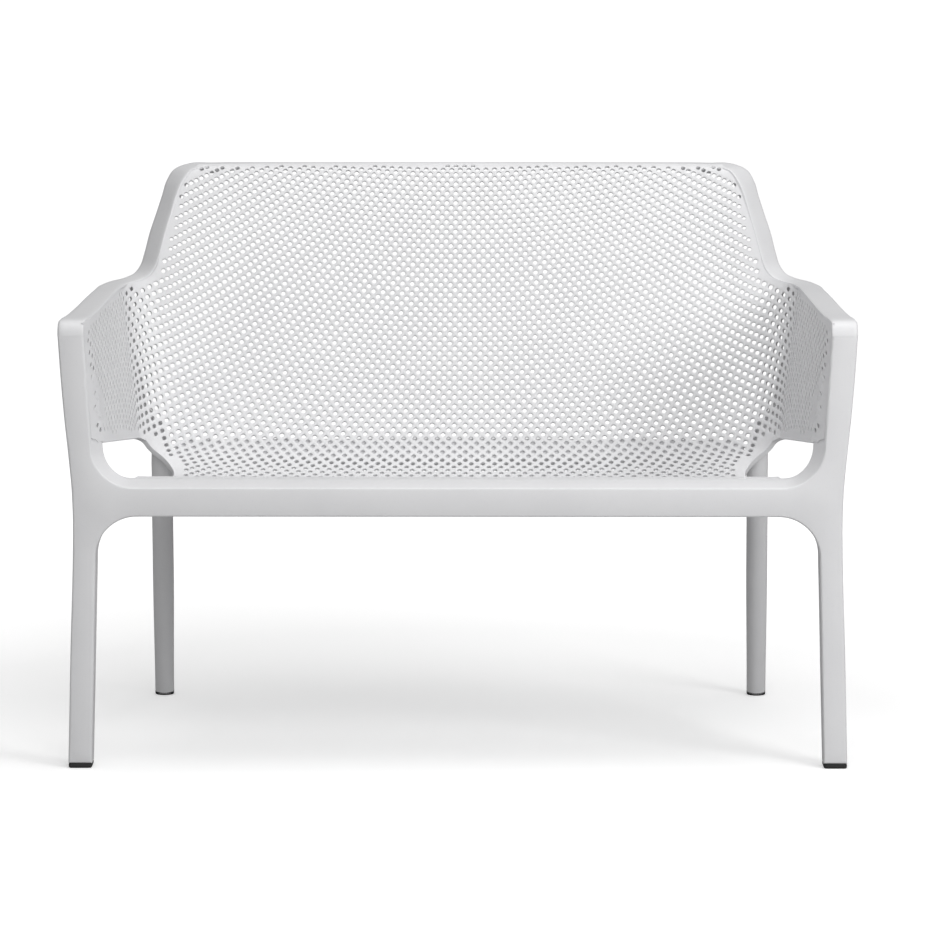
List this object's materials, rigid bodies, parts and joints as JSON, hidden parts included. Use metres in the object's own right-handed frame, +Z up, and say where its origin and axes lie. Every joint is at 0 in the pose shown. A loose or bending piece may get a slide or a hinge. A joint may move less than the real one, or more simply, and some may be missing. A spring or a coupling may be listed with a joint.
{
  "type": "garden bench",
  "caption": "Moulded garden bench with a perforated seat, back and arms on flat-fronted front legs and slim splayed rear legs.",
  "frame": {"origin": "on the floor under the middle of the bench's overall box", "axes": "+X to the right of a person who faces the bench, +Y from its front to its back, +Z up"},
  "size_m": [1.154, 0.645, 0.845],
  "materials": {
    "white_resin": "satin, fine grain",
    "foot_rubber": "matte"
  },
  "bodies": {
    "root": {"front_rail": "white_resin", "left_front_leg": "white_resin", "right_front_leg": "white_resin", "left_armrest": "white_resin", "right_armrest": "white_resin", "left_back_rim": "white_resin", "right_back_rim": "white_resin", "top_rim": "white_resin", "left_rear_leg": "white_resin", "right_rear_leg": "white_resin", "rear_cross_beam": "white_resin", "left_seat_beam": "white_resin", "right_seat_beam": "white_resin", "left_seat_rib": "white_resin", "right_seat_rib": "white_resin", "seat_panel": "white_resin", "seat_bend_panel": "white_resin", "lower_back_panel": "white_resin", "upper_back_panel": "white_resin", "left_arm_panel": "white_resin", "right_arm_panel": "white_resin", "front_left_foot": "foot_rubber", "front_right_foot": "foot_rubber", "rear_left_foot": "foot_rubber", "rear_right_foot": "foot_rubber"}
  },
  "joints": []
}
